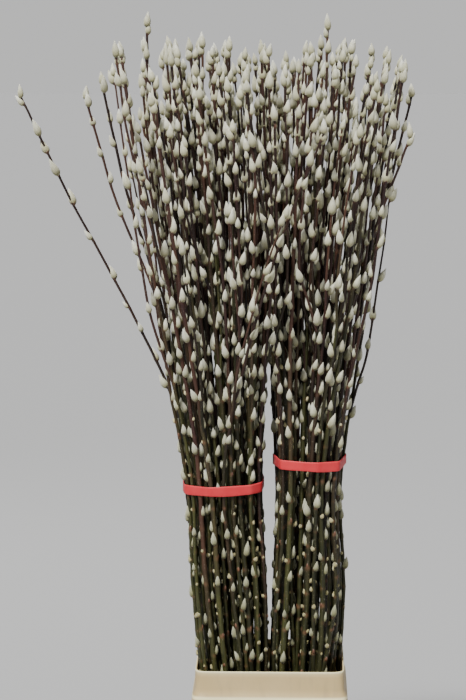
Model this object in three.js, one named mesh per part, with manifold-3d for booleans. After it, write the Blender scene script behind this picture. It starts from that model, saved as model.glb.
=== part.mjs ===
// Pussy willow as it is sold: two bundles of long cut branches, each held by a flat elastic tie,
// standing side by side in a moulded flower bucket.
// Millimetres, +Z up, the front towards -Y. The origin is the middle of the bucket's foot.

import * as THREE from "three";
import { mergeVertices } from "three/addons/utils/BufferGeometryUtils.js";
import Module from "manifold-3d";

const wasm = await Module();
wasm.setup();

// ---- Driving dimensions ------------------------------------------------------------------------

const BUCKET = {
  height: 333,
  mouthWidth: 215, // outside, at the lip
  mouthDepth: 200,
  taper: 0.84, // size of the foot against the collar
  neck: 30, // plain band between the lip and the flare
  flare: 9, // height in which the neck widens to the collar
  collar: 17, // height of the widest band
  collarReach: 5, // how far the collar stands out from the lip
  wall: 2.6,
  base: 4,
  squareness: 15, // power of the superellipse that rounds its corners
  cornerDensity: 0.19, // how strongly its facets gather at the corners, below 0.25
  facets: 48,
};

const BRANCH = {
  foot: BUCKET.base + 1, // cut ends stand just clear of the bucket's base
  tallest: 1221, // height of the longest tip in the spread, its end catkin left out
  shortest: 1098,
  buttRadius: 4.8,
  endRadius: 1.7,
  sideShare: 0.68, // radius of a side rod against the main rod where it leaves it
  sideReach: 100, // height in which a side rod swings out to its own place
  sway: 0.9, // half the width of the slow waves in a rod inside the bucket
  topSway: 6.5,
};

const CATKIN = { length: 23, radius: 5.6, widestAt: 0.36, tipRadius: 0.7 };

const TIE = { width: 15, thickness: 1.4, clearance: 0.5 };

const MAIN_SIDES = 6;
const SIDE_SIDES = 5;
const RING_PITCH = 150; // height between a rod's rings

// A bundle's stations, from foot to top: the height, the middle of the bundle, how far the outermost
// rods stand from that middle, across (a) and front to back (b), and how square its outline is.
const BUNDLES = [
  {
    name: "left",
    branches: 31,
    rods: 84,
    seed: 7654321,
    twist: -0.42,
    shoulderDrop: 10, // how much lower the outermost tips end
    tie: { height: 590, slope: 0.05 },
    stations: [
      { z: 5, x: -44.5, y: -13, a: 41.5, b: 56, square: 0.5 },
      { z: 333, x: -51, y: -14, a: 46, b: 56, square: 0.6 },
      { z: 420, x: -58.5, y: -14, a: 54, b: 57, square: 0.4 },
      { z: 590, x: -67, y: -13, a: 57, b: 57, square: 0.2 },
      { z: 725, x: -74, y: -9, a: 69, b: 70, square: 0.45 },
      { z: 860, x: -81, y: -6, a: 78, b: 92, square: 0.7 },
      { z: 1000, x: -90, y: -4, a: 91, b: 110, square: 0.8 },
      { z: 1143, x: -103, y: 0, a: 104, b: 122, square: 0.8 },
      { z: 1250, x: -109, y: 0, a: 110, b: 128, square: 0.8 },
    ],
    // Rods that leave the bundle's spread: where they stand at the height from, where their tips
    // end, and the power of their bend.
    strays: [
      { start: [-146, -8], from: 735, tip: [-357, -26, 1151], bend: 1.12 },
      { start: [-146, 30], from: 790, tip: [-270, 44, 1147], bend: 1.15 },
      { start: [-146, -38], from: 850, tip: [-238, -60, 1170], bend: 1.15 },
      { start: [-66, -66], from: 640, tip: [74, -140, 1104], bend: 1.05 },
      { start: [-150, -20], from: 900, tip: [-177, -14, 1251], bend: 1.2 },
      { start: [-20, 46], from: 760, tip: [34, 138, 1186], bend: 1.1 },
    ],
  },
  {
    name: "right",
    branches: 26,
    rods: 70,
    seed: 97000111,
    twist: 0.36,
    shoulderDrop: 34,
    tie: { height: 626, slope: 0 },
    stations: [
      { z: 5, x: 44.5, y: -13, a: 41.5, b: 54, square: 0.5 },
      { z: 333, x: 50.5, y: -14, a: 48, b: 56, square: 0.6 },
      { z: 420, x: 55, y: -14, a: 51, b: 57, square: 0.4 },
      { z: 626, x: 56, y: -11, a: 47.5, b: 57, square: 0.2 },
      { z: 725, x: 61, y: -6, a: 58, b: 65, square: 0.45 },
      { z: 860, x: 70, y: -4, a: 69, b: 84, square: 0.7 },
      { z: 1000, x: 79, y: -2, a: 80, b: 104, square: 0.8 },
      { z: 1143, x: 91, y: 0, a: 91, b: 120, square: 0.8 },
      { z: 1250, x: 96, y: 0, a: 96, b: 126, square: 0.8 },
    ],
    strays: [
      { start: [128, -20], from: 900, tip: [199, -30, 1152], bend: 1.2 },
      { start: [120, 34], from: 900, tip: [185, 56, 1166], bend: 1.2 },
      { start: [118, -44], from: 860, tip: [195, -84, 1096], bend: 1.2 },
      { start: [60, -10], from: 900, tip: [80, -8, 1246], bend: 1.2 },
      { start: [20, -46], from: 760, tip: [-34, -134, 1172], bend: 1.1 },
    ],
  },
];

const BARK = new THREE.MeshStandardMaterial({ color: 0x4a3a2c, roughness: 0.62, metalness: 0 });
const ELASTIC = new THREE.MeshStandardMaterial({ color: 0xc8343c, roughness: 0.55, metalness: 0 });
const BUCKET_PLASTIC = new THREE.MeshStandardMaterial({ color: 0xcdbb98, roughness: 0.5, metalness: 0 });

// ---- Small helpers -----------------------------------------------------------------------------

const lerp = THREE.MathUtils.lerp;

// A repeatable run of numbers from 0 to 1.
function seededRandom(seed) {
  let state = seed;
  return () => {
    state = (state * 16807) % 2147483647;
    return (state - 1) / 2147483646;
  };
}

// One quantity of the stations at height z, on a smooth curve through them all.
function stationValue(stations, key, z) {
  const last = stations.length - 1;
  let i = 0;
  while (i < last - 1 && z > stations[i + 1].z) i++;
  const [p, q] = [stations[i], stations[i + 1]];
  const before = stations[Math.max(i - 1, 0)];
  const after = stations[Math.min(i + 2, last)];
  const span = q.z - p.z;
  const t = (z - p.z) / span;
  const slopeP = (span * (q[key] - before[key])) / (q.z - before.z);
  const slopeQ = (span * (after[key] - p[key])) / (after.z - p.z);
  return (
    (2 * t ** 3 - 3 * t ** 2 + 1) * p[key] +
    (t ** 3 - 2 * t ** 2 + t) * slopeP +
    (3 * t ** 2 - 2 * t ** 3) * q[key] +
    (t ** 3 - t ** 2) * slopeQ
  );
}

// A three.js geometry as a solid, and a solid as a three.js geometry.
function toSolid(geometry) {
  const bare = geometry.clone().deleteAttribute("normal").deleteAttribute("uv");
  const merged = mergeVertices(bare, 1e-4);
  return new wasm.Manifold(
    new wasm.Mesh({
      numProp: 3,
      vertProperties: merged.attributes.position.array,
      triVerts: new Uint32Array(merged.index.array),
    }),
  );
}

function toGeometry(solid) {
  const mesh = solid.getMesh();
  return new THREE.BufferGeometry()
    .setAttribute("position", new THREE.BufferAttribute(mesh.vertProperties, 3))
    .setIndex(new THREE.BufferAttribute(mesh.triVerts, 1));
}

// ---- Rods --------------------------------------------------------------------------------------

// Where a rod's middle passes height z. A rod keeps its own slot (u, v) in the unit circle of its
// bundle all the way up, so that no two rods meet: the bundle turns, narrows at the tie and spreads
// above it, and takes them all with it.
function rodPlace(bundle, slot, z) {
  const value = (key) => stationValue(bundle.stations, key, z);
  const spread = Math.max(0, (z - bundle.tie.height) / (BRANCH.tallest - bundle.tie.height));
  const turn = (bundle.twist * (z - BRANCH.foot)) / BRANCH.tallest;
  const u = slot.u * Math.cos(turn) - slot.v * Math.sin(turn);
  const v = slot.u * Math.sin(turn) + slot.v * Math.cos(turn);
  const square = value("square");
  const sway = lerp(BRANCH.sway, BRANCH.topSway, spread ** 1.4);
  const place = new THREE.Vector2(
    value("x") + value("a") * u * (1 + square * v * v) + sway * Math.sin(z / slot.waveX + slot.phaseX),
    value("y") + value("b") * v * (1 + square * u * u) + sway * Math.sin(z / slot.waveY + slot.phaseY),
  );
  if (slot.stray && z > slot.stray.from) {
    const { from, tip, bend } = slot.stray;
    const share = ((z - from) / (tip[2] - from)) ** bend;
    place.lerp(new THREE.Vector2(tip[0], tip[1]), Math.min(1, share));
  }
  return place;
}

// A tapered rod along place(z), ending in its tip catkin. It is a cylinder whose rings stay level.
function rodGeometry(place, from, to, butt, sides) {
  const steps = Math.max(3, Math.round((to - from) / RING_PITCH));
  const rings = [];
  for (let i = 0; i <= steps; i++) {
    const t = i / steps;
    rings.push({ z: lerp(from, to, t), r: lerp(butt, BRANCH.endRadius, t ** 1.15) });
  }
  rings.push({ z: to + CATKIN.length * CATKIN.widestAt, r: CATKIN.radius });
  rings.push({ z: to + CATKIN.length, r: CATKIN.tipRadius });

  const geometry = new THREE.CylinderGeometry(1, 1, 1, sides, rings.length - 1);
  geometry.rotateX(Math.PI / 2).translate(0, 0, 0.5);
  const p = geometry.attributes.position;
  for (let i = 0; i < p.count; i++) {
    const ring = rings[Math.round(p.getZ(i) * (rings.length - 1))];
    const middle = place(ring.z);
    p.setXYZ(i, middle.x + ring.r * p.getX(i), middle.y + ring.r * p.getY(i), ring.z);
  }
  return geometry;
}

// Push slots apart in a bundle's foot, where the rods are thickest, keeping them in the unit circle.
function relax(slots, { a, b }) {
  const room = 1.04 * Math.sqrt((Math.PI * a * b) / slots.length);
  for (let round = 0; round < 120; round++) {
    for (const s of slots) {
      for (const t of slots) {
        const apart = Math.hypot((t.u - s.u) * a, (t.v - s.v) * b);
        if (s === t || apart >= room) continue;
        const push = (0.2 * (room - apart)) / apart;
        const [du, dv] = [(t.u - s.u) * push, (t.v - s.v) * push];
        t.u += du;
        t.v += dv;
        s.u -= du;
        s.v -= dv;
      }
      const out = Math.max(1, Math.hypot(s.u, s.v));
      s.u /= out;
      s.v /= out;
    }
  }
}

// The slots of a bundle's rods, spread evenly over the unit circle in a sunflower's spiral.
function makeSlots(bundle, random) {
  const golden = Math.PI * (3 - Math.sqrt(5));
  const first = random() * 2 * Math.PI;
  const slots = Array.from({ length: bundle.rods }, (_, k) => {
    const r = Math.sqrt((k + 0.35) / (bundle.rods - 0.65));
    return {
      u: r * Math.cos(first + k * golden),
      v: r * Math.sin(first + k * golden),
      phaseX: random() * 2 * Math.PI,
      phaseY: random() * 2 * Math.PI,
      waveX: lerp(55, 120, random()),
      waveY: lerp(55, 120, random()),
      tip: 0,
    };
  });
  relax(slots, bundle.stations[0]);
  for (const slot of slots) {
    const drop = bundle.shoulderDrop * (slot.u ** 2 + slot.v ** 2);
    slot.tip = lerp(BRANCH.tallest, BRANCH.shortest, random() ** 1.8) - drop;
  }
  for (const stray of bundle.strays) {
    const start = new THREE.Vector2(...stray.start);
    const gap = (slot) => rodPlace(bundle, slot, stray.from).distanceTo(start);
    const free = slots.filter((slot) => !slot.stray);
    const nearest = free.reduce((best, slot) => (gap(slot) < gap(best) ? slot : best));
    nearest.stray = stray;
    nearest.tip = stray.tip[2];
  }
  return slots;
}

// Slots shared out among the branches. The closest neighbours are joined first, until there are
// as many branches as the bundle has; a branch takes its own slot and up to three more.
function shareOut(bundle, slots) {
  const { a, b } = bundle.stations[0];
  const pairs = [];
  slots.forEach((s, i) => {
    slots.forEach((t, j) => {
      if (i !== j) pairs.push({ s, t, gap: Math.hypot((s.u - t.u) * a, (s.v - t.v) * b) });
    });
  });
  pairs.sort((p, q) => p.gap - q.gap);
  const branches = new Map(slots.map((slot) => [slot, [slot]]));
  for (const { s, t } of pairs) {
    if (branches.size === bundle.branches) break;
    const [whole, alone] = [branches.get(s), branches.get(t)];
    if (!whole || !alone || whole.length > 3 || alone.length > 1) continue;
    whole.push(t);
    branches.delete(t);
  }
  return [...branches.values()];
}

// A whole branch: one rod, and the side rods that grow from it.
function branchSolid(bundle, [main, ...sides], random) {
  const length = main.tip - BRANCH.foot;
  const butt = BRANCH.buttRadius * lerp(0.86, 1, random());
  const mainPlace = (z) => rodPlace(bundle, main, z);
  let solid = toSolid(rodGeometry(mainPlace, BRANCH.foot, main.tip, butt, MAIN_SIDES));
  for (const side of sides) {
    // Most forks are low, inside the bucket; every third or so is high up.
    const low = random() < 0.68 || main.stray || side.stray;
    const fork = low ? lerp(60, 300, random()) : lerp(660, 900, random());
    const here = lerp(butt, BRANCH.endRadius, ((fork - BRANCH.foot) / length) ** 1.15);
    const swing = (z) => THREE.MathUtils.smoothstep(z, fork, fork + BRANCH.sideReach);
    const sidePlace = (z) => mainPlace(z).lerp(rodPlace(bundle, side, z), swing(z));
    const tip = Math.max(side.tip, fork + 2.2 * RING_PITCH);
    const sideButt = Math.max(here * BRANCH.sideShare, BRANCH.endRadius);
    solid = solid.add(toSolid(rodGeometry(sidePlace, fork, tip, sideButt, SIDE_SIDES)));
  }
  return solid;
}

// ---- Ties --------------------------------------------------------------------------------------

// The points of a flat set that a stretched band would touch, anticlockwise.
function hull(points) {
  const sorted = [...points].sort((p, q) => p.x - q.x || p.y - q.y);
  const chain = (list) => {
    const kept = [];
    for (const p of list) {
      while (kept.length > 1) {
        const [a, b] = kept.slice(-2);
        if ((b.x - a.x) * (p.y - a.y) - (b.y - a.y) * (p.x - a.x) > 0) break;
        kept.pop();
      }
      kept.push(p);
    }
    return kept.slice(0, -1);
  };
  return [...chain(sorted), ...chain(sorted.reverse())];
}

// A hull moved outwards by reach. Each corner moves along the mean of its two sides' normals.
function bandOutline(corners, reach) {
  return corners.map((p, i) => {
    const before = corners.at(i - 1);
    const after = corners[(i + 1) % corners.length];
    const n1 = new THREE.Vector2(p.y - before.y, before.x - p.x).normalize();
    const n2 = new THREE.Vector2(after.y - p.y, p.x - after.x).normalize();
    const out = n1.clone().add(n2).multiplyScalar(reach / (1 + n1.dot(n2)));
    return out.add(p);
  });
}

// Where a geometry's edges pass height z.
function crossings(geometry, z) {
  const p = geometry.attributes.position;
  const index = geometry.index;
  const points = [];
  for (let i = 0; i < index.count; i++) {
    const j = index.getX(i);
    const k = index.getX(i % 3 === 2 ? i - 2 : i + 1);
    const t = (z - p.getZ(j)) / (p.getZ(k) - p.getZ(j));
    if (!(t >= 0 && t <= 1)) continue;
    points.push(new THREE.Vector2(lerp(p.getX(j), p.getX(k), t), lerp(p.getY(j), p.getY(k), t)));
  }
  return points;
}

// The elastic band round a bundle: it runs straight from one outer rod to the next.
function tieGeometry(bundle, branches) {
  const { height, slope } = bundle.tie;
  const levels = [-0.7, 0, 0.7].map((share) => height + share * TIE.width);
  const corners = hull(branches.flatMap((g) => levels.flatMap((z) => crossings(g, z))));
  const spaced = corners.filter((p, i) => p.distanceTo(corners.at(i - 1)) > TIE.clearance);
  const shape = new THREE.Shape(bandOutline(spaced, TIE.clearance + TIE.thickness));
  shape.holes.push(new THREE.Path(bandOutline(spaced, TIE.clearance)));
  const geometry = new THREE.ExtrudeGeometry(shape, { depth: TIE.width, bevelEnabled: false });
  geometry.translate(0, 0, height - TIE.width / 2);
  const p = geometry.attributes.position;
  const middle = stationValue(bundle.stations, "x", height);
  for (let i = 0; i < p.count; i++) p.setZ(i, p.getZ(i) + slope * (p.getX(i) - middle));
  return geometry;
}

// ---- Bucket ------------------------------------------------------------------------------------

// A square bucket with round corners: a lathe profile carried round a superellipse, with its facets
// drawn together at the corners.
function bucketGeometry() {
  const half = BUCKET.mouthWidth / 2;
  const widest = half + BUCKET.collarReach;
  const neckFoot = BUCKET.height - BUCKET.neck;
  const collarTop = neckFoot - BUCKET.flare;
  const collarFoot = collarTop - BUCKET.collar;
  const foot = widest * BUCKET.taper;
  const profile = [
    [0, 0],
    [foot - 2, 0],
    [foot, 2],
    [widest - 3.4, collarFoot],
    [widest, collarFoot],
    [widest, collarTop],
    [half + 1, neckFoot],
    [half, BUCKET.height - 1],
    [half - 0.6, BUCKET.height],
    [half - BUCKET.wall, BUCKET.height],
    [half + 1 - BUCKET.wall, neckFoot],
    [foot - BUCKET.wall, BUCKET.base],
    [0, BUCKET.base],
  ].map(([r, z]) => new THREE.Vector2(r, z));
  const geometry = new THREE.LatheGeometry(profile, BUCKET.facets).rotateX(Math.PI / 2);
  const power = BUCKET.squareness;
  const p = geometry.attributes.position;
  for (let i = 0; i < p.count; i++) {
    const r = Math.hypot(p.getX(i), p.getY(i));
    if (r < 1e-6) continue; // on the axis
    const even = Math.atan2(p.getY(i), p.getX(i));
    const angle = even + BUCKET.cornerDensity * Math.sin(4 * even);
    const [c, s] = [Math.cos(angle), Math.sin(angle)];
    const reach = r * (Math.abs(c) ** power + Math.abs(s) ** power) ** (-1 / power);
    p.setXY(i, reach * c, reach * s * (BUCKET.mouthDepth / BUCKET.mouthWidth));
  }
  return geometry;
}

// ---- Assembly ----------------------------------------------------------------------------------

function part(name, geometry, material) {
  const mesh = new THREE.Mesh(geometry, material);
  mesh.name = name;
  return mesh;
}

const willow = new THREE.Group();
willow.add(part("flower_bucket", bucketGeometry(), BUCKET_PLASTIC));

for (const bundle of BUNDLES) {
  const random = seededRandom(bundle.seed);
  const slots = makeSlots(bundle, random);
  const branches = shareOut(bundle, slots).map((rods) => toGeometry(branchSolid(bundle, rods, random)));
  branches.forEach((geometry, i) => {
    const number = String(i + 1).padStart(2, "0");
    willow.add(part(`${bundle.name}_branch_${number}`, geometry, BARK));
  });
  willow.add(part(`${bundle.name}_tie`, tieGeometry(bundle, branches), ELASTIC));
}

export default willow;
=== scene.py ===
"""Pussy willow for sale: two tied bundles of budding branches in a flower bucket.

Metres, +Z up, the front towards -Y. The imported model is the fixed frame: every rod of a branch
follows the middle line of its own solid, and the ties and the bucket keep their solids' sizes. The
thin shoots and the buds along the rods have no solid; they belong to the branch they grow on.
"""

import bpy
import numpy as np
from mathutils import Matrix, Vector


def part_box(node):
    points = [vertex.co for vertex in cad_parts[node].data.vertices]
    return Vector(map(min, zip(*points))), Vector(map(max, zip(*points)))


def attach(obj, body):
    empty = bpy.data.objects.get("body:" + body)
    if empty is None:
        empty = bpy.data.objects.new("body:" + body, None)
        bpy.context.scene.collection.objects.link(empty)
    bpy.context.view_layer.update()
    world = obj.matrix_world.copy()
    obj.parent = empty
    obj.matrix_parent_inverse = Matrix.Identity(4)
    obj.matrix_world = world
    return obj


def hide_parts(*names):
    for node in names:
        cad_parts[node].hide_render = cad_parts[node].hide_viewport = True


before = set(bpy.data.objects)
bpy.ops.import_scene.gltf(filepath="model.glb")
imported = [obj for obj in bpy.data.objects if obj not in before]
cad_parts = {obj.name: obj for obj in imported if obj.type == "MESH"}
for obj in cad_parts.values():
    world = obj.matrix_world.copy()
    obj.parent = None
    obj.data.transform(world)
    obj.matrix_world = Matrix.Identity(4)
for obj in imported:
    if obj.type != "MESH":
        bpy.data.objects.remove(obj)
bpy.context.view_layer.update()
rng = np.random.default_rng(20260305)


# ---- Flower bucket -----------------------------------------------------------------------------
# The square bucket that cut flowers travel in: one thin wall of cream polypropylene, injection
# moulded, with a plain neck under a bare lip and a stacking collar that stands out below the neck.


def skin(name, rings, rows, wrap=False, facts=None):
    """A closed mesh from rings[shell, row, column, xyz]. Neighbouring rings are joined by quads,
    columns turning anticlockwise about the way the rows go. Each end ring is shut by a fan to its
    own middle, or with wrap the last ring meets the first. rows[row] or rows[shell, row] is the v
    of the UV map, u goes once round. facts are named values for rings[shell, row, column]."""
    shells, count, sides = rings.shape[:3]
    first = np.arange(shells)[:, None, None] * count * sides
    row = np.arange(count if wrap else count - 1)[None, :, None]
    col = np.arange(sides)[None, None, :]
    above, beside = (row + 1) % count, (col + 1) % sides

    def corner(r, c):
        return (first + r * sides + c + 0 * row * col).reshape(-1)

    quads = np.stack([corner(row, col), corner(row, beside), corner(above, beside), corner(above, col)], 1)
    rows = np.broadcast_to(np.asarray(rows, float), (shells, count))
    low = np.broadcast_to(rows[:, : row.shape[1], None], (shells, row.shape[1], sides)).reshape(-1)
    high = np.roll(rows, -1, 1) if not wrap else np.c_[rows[:, 1:], 2 * rows[:, -1:] - rows[:, -2:-1]]
    high = np.broadcast_to(high[:, : row.shape[1], None], (shells, row.shape[1], sides)).reshape(-1)
    left = np.broadcast_to(col / sides, (shells, row.shape[1], sides)).reshape(-1)
    right = left + 1 / sides
    quad_uv = np.stack([left, low, right, low, right, high, left, high], 1).reshape(-1, 2)
    places = rings.reshape(-1, 3)
    corners, starts, uv = quads.reshape(-1), np.arange(len(quads)) * 4, quad_uv
    if not wrap:
        poles = rings[:, [0, -1]].mean(2)
        pole = shells * count * sides + np.arange(shells * 2).reshape(shells, 2, 1) + 0 * np.arange(sides)
        ring = np.arange(shells)[:, None] * count * sides + np.arange(sides)
        next_ring = np.arange(shells)[:, None] * count * sides + (np.arange(sides) + 1) % sides
        top = (count - 1) * sides
        fans = np.concatenate(
            [
                np.stack([pole[:, 0], next_ring, ring], -1).reshape(-1, 3),
                np.stack([pole[:, 1], ring + top, next_ring + top], -1).reshape(-1, 3),
            ]
        )
        turn = np.broadcast_to(np.arange(sides) / sides, (shells, sides)).reshape(-1)
        v0, v1 = np.repeat(rows[:, 0], sides), np.repeat(rows[:, -1], sides)
        half = turn + 0.5 / sides
        fan_uv = np.concatenate(
            [
                np.stack([half, v0, turn + 1 / sides, v0, turn, v0], 1),
                np.stack([half, v1, turn, v1, turn + 1 / sides, v1], 1),
            ]
        ).reshape(-1, 2)
        places = np.concatenate([places, poles.reshape(-1, 3)])
        starts = np.concatenate([starts, len(corners) + np.arange(len(fans)) * 3])
        corners = np.concatenate([corners, fans.reshape(-1)])
        uv = np.concatenate([uv, fan_uv])
    mesh = bpy.data.meshes.new(name)
    mesh.vertices.add(len(places))
    mesh.vertices.foreach_set("co", places.reshape(-1).astype(np.float32))
    mesh.loops.add(len(corners))
    mesh.loops.foreach_set("vertex_index", corners.astype(np.int32))
    mesh.polygons.add(len(starts))
    mesh.polygons.foreach_set("loop_start", starts.astype(np.int32))
    mesh.polygons.foreach_set("use_smooth", np.ones(len(starts), bool))
    layer = mesh.uv_layers.new(name="surface")
    layer.uv.foreach_set("vector", uv.reshape(-1).astype(np.float32))
    for key, values in (facts or {}).items():
        values = np.broadcast_to(values, (shells, count, sides))
        flat = values.reshape(-1)
        if not wrap:
            flat = np.concatenate([flat, values[:, [0, -1]].mean(2).reshape(-1)])
        attribute = mesh.attributes.new(key, "FLOAT", "POINT")
        attribute.data.foreach_set("value", flat.astype(np.float32))
    mesh.update(calc_edges=True)
    mesh.validate()
    piece = bpy.data.objects.new(name, mesh)
    bpy.context.scene.collection.objects.link(piece)
    return piece


def rounded(corners, reach, steps=5):
    """An open profile with each inner corner replaced by a parabolic arc that starts and ends reach
    away from it, or half the shorter side away if that is less."""
    before, here, after = corners[:-2], corners[1:-1], corners[2:]
    back, on = before - here, after - here
    back_length, on_length = np.linalg.norm(back, axis=1), np.linalg.norm(on, axis=1)
    reach = np.minimum(reach, 0.48 * np.minimum(back_length, on_length))[:, None]
    start = here + back / back_length[:, None] * reach
    end = here + on / on_length[:, None] * reach
    t = np.linspace(0, 1, steps)[None, :, None]
    arcs = (1 - t) ** 2 * start[:, None] + 2 * t * (1 - t) * here[:, None] + t**2 * end[:, None]
    return np.concatenate([corners[:1], arcs.reshape(-1, 2), corners[-1:]])


def subdivided(profile, longest):
    """A profile with no step longer than longest: each side is cut into equal parts."""
    sides = np.linalg.norm(np.diff(profile, axis=0), axis=1)
    parts = np.maximum(1, np.ceil(sides / longest)).astype(int)
    places = np.concatenate([i + np.arange(n) / n for i, n in enumerate(parts)] + [[len(parts)]])
    index = np.arange(len(profile))
    return np.stack([np.interp(places, index, profile[:, k]) for k in range(2)], 1)


BUCKET_HIGH = np.array(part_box("flower_bucket")[1])
COLLAR_HALF = BUCKET_HIGH[0]
LIP_HALF = COLLAR_HALF - 0.005
LIP_Z = BUCKET_HIGH[2]
NECK_FOOT, COLLAR_TOP, COLLAR_FOOT = LIP_Z - 0.030, LIP_Z - 0.039, LIP_Z - 0.056
FOOT_HALF = COLLAR_HALF * 0.84
BUCKET_WALL, BUCKET_BASE = 0.0026, 0.004
DEPTH_SHARE = BUCKET_HIGH[1] / BUCKET_HIGH[0]
CORNER_POWER, CORNER_DENSITY = 15, 0.19
BUCKET_SIDES, LONGEST_STEP, HOLLOW = 176, 0.012, 0.0016

profile = np.array(
    [
        (0.0005, 0.0012),
        (FOOT_HALF * 0.80, 0.0012),
        (FOOT_HALF * 0.82, 0.0),
        (FOOT_HALF - 0.0015, 0.0),
        (FOOT_HALF, 0.003),
        (COLLAR_HALF - 0.0034, COLLAR_FOOT),
        (COLLAR_HALF - 0.0003, COLLAR_FOOT),
        (COLLAR_HALF, COLLAR_FOOT + 0.001),
        (COLLAR_HALF, COLLAR_TOP),
        (LIP_HALF + 0.001, NECK_FOOT),
        (LIP_HALF, LIP_Z - 0.002),
        (LIP_HALF, LIP_Z),
        (LIP_HALF - BUCKET_WALL, LIP_Z),
        (LIP_HALF + 0.001 - BUCKET_WALL, NECK_FOOT),
        (FOOT_HALF - BUCKET_WALL, BUCKET_BASE),
        (0.0005, BUCKET_BASE),
    ]
)
REACHES = [1, 1, 1, 3, 2, 0.8, 0.8, 3, 5, 1, 1.1, 1.1, 4, 6]
profile = subdivided(rounded(profile, np.array(REACHES) * 0.001), LONGEST_STEP)
even = np.linspace(0, 2 * np.pi, BUCKET_SIDES, endpoint=False)
turn = even + CORNER_DENSITY * np.sin(4 * even)
corner_reach = (abs(np.cos(turn)) ** CORNER_POWER + abs(np.sin(turn)) ** CORNER_POWER) ** (-1 / CORNER_POWER)
across = profile[:, :1] * corner_reach
# A thin moulded wall pulls in a little between its corners, most at mid height.
hollow = HOLLOW * np.sin(np.pi * np.clip(profile[:, 1] / COLLAR_FOOT, 0, 1)) * (profile[:, 0] > 0.06)
across = across - hollow[:, None] * np.cos(2 * turn) ** 2
bucket_rings = np.stack(
    [across * np.cos(turn), across * np.sin(turn) * DEPTH_SHARE, profile[:, 1:] + 0 * turn], -1
)
on_outside = np.arange(len(profile)) < np.argmax(profile[:, 1])
edges = np.array([[LIP_HALF, LIP_Z], [COLLAR_HALF, COLLAR_TOP], [COLLAR_HALF, COLLAR_FOOT], [FOOT_HALF, 0]])
near_edge = np.linalg.norm(profile[:, None] - edges, axis=2).min(1)
bucket = skin(
    "flower_bucket_shell",
    bucket_rings[None],
    np.concatenate([[0], np.cumsum(np.linalg.norm(np.diff(profile, axis=0), axis=1))]),
    facts={
        "edge": np.exp(-((near_edge / 0.003) ** 2))[None, :, None],
        "inside": (~on_outside)[None, :, None].astype(float),
    },
)


def new_material(name, **sockets):
    """A material with one Principled shader, its plain numbers set by socket name."""
    material = bpy.data.materials.new(name)
    material.use_nodes = True
    shader = material.node_tree.nodes["Principled BSDF"]
    for socket, value in sockets.items():
        shader.inputs[socket.replace("_", " ")].default_value = value
    return material, material.node_tree, shader


def node(tree, kind, inputs=None, **settings):
    """A shader node with its settings, and its inputs by name or number: a value, or a socket."""
    made = tree.nodes.new(kind)
    for key, value in settings.items():
        setattr(made, key, value)
    for key, value in (inputs or {}).items():
        if isinstance(value, bpy.types.NodeSocket):
            tree.links.new(value, made.inputs[key])
        else:
            made.inputs[key].default_value = value
    return made


def ramp(tree, factor, stops):
    """A colour ramp over stops of (place, colour)."""
    made = node(tree, "ShaderNodeValToRGB", {"Fac": factor})
    elements = made.color_ramp.elements
    for i, (place, colour) in enumerate(stops):
        element = elements[i] if i < 2 else elements.new(place)
        element.position, element.color = place, (*colour, 1)
    return made.outputs["Color"]


def mix(tree, factor, a, b, blend="MIX"):
    """Two colours mixed by a factor."""
    made = node(tree, "ShaderNodeMix", data_type="RGBA", blend_type=blend)
    for key, value in ((0, factor), (6, a), (7, b)):
        if isinstance(value, bpy.types.NodeSocket):
            tree.links.new(value, made.inputs[key])
        else:
            made.inputs[key].default_value = value if key == 0 else (*value, 1)
    return made.outputs[2]


def span(tree, value, low, high, to_low=0.0, to_high=1.0):
    """A value stretched from low..high to to_low..to_high and held at the ends."""
    made = node(tree, "ShaderNodeMapRange", {0: value, 1: low, 2: high, 3: to_low, 4: to_high})
    return made.outputs[0]


def calc(tree, operation, *values):
    """One step of arithmetic on values or sockets."""
    return node(tree, "ShaderNodeMath", dict(enumerate(values)), operation=operation).outputs[0]


def own_height(tree):
    """The height of the shaded place on its own piece, in metres."""
    place = node(tree, "ShaderNodeTexCoord").outputs["Object"]
    return node(tree, "ShaderNodeSeparateXYZ", {0: place}).outputs["Z"]


def group(name, inputs, outputs):
    """An empty shader node group with named inputs (kind, default) and outputs (kind)."""
    tree = bpy.data.node_groups.new(name, "ShaderNodeTree")
    for key, (kind, default) in inputs.items():
        socket = tree.interface.new_socket(key, in_out="INPUT", socket_type="NodeSocket" + kind)
        if default is not None:
            socket.default_value = default
    for key, kind in outputs.items():
        tree.interface.new_socket(key, in_out="OUTPUT", socket_type="NodeSocket" + kind)
    return tree, tree.nodes.new("NodeGroupInput").outputs, tree.nodes.new("NodeGroupOutput").inputs


# Grain: noise on the piece's own coordinates, drawn out along Z by a share below 1.
grain_tree, grain_in, grain_out = group(
    "grain",
    {"Scale": ("Float", 100.0), "Stretch": ("Float", 1.0), "Detail": ("Float", 4.0)},
    {"Value": "Float"},
)
grain_place = node(grain_tree, "ShaderNodeTexCoord").outputs["Object"]
grain_axes = node(grain_tree, "ShaderNodeCombineXYZ", {0: 1.0, 1: 1.0, 2: grain_in["Stretch"]})
grain_place = node(
    grain_tree, "ShaderNodeVectorMath", {0: grain_place, 1: grain_axes.outputs[0]}, operation="MULTIPLY"
)
grain_noise = node(
    grain_tree,
    "ShaderNodeTexNoise",
    {"Vector": grain_place.outputs[0], "Scale": grain_in["Scale"], "Detail": grain_in["Detail"]},
)
grain_tree.links.new(grain_noise.outputs["Fac"], grain_out["Value"])


def grain(tree, scale, stretch=1.0, detail=4.0):
    """The grain group placed in a material's tree."""
    made = node(tree, "ShaderNodeGroup", node_tree=grain_tree)
    for key, value in (("Scale", scale), ("Stretch", stretch), ("Detail", detail)):
        made.inputs[key].default_value = value
    return made.outputs["Value"]


def fact(tree, name):
    """A value that the mesh carries for each of its points."""
    return node(tree, "ShaderNodeAttribute", attribute_name=name).outputs["Fac"]


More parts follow.
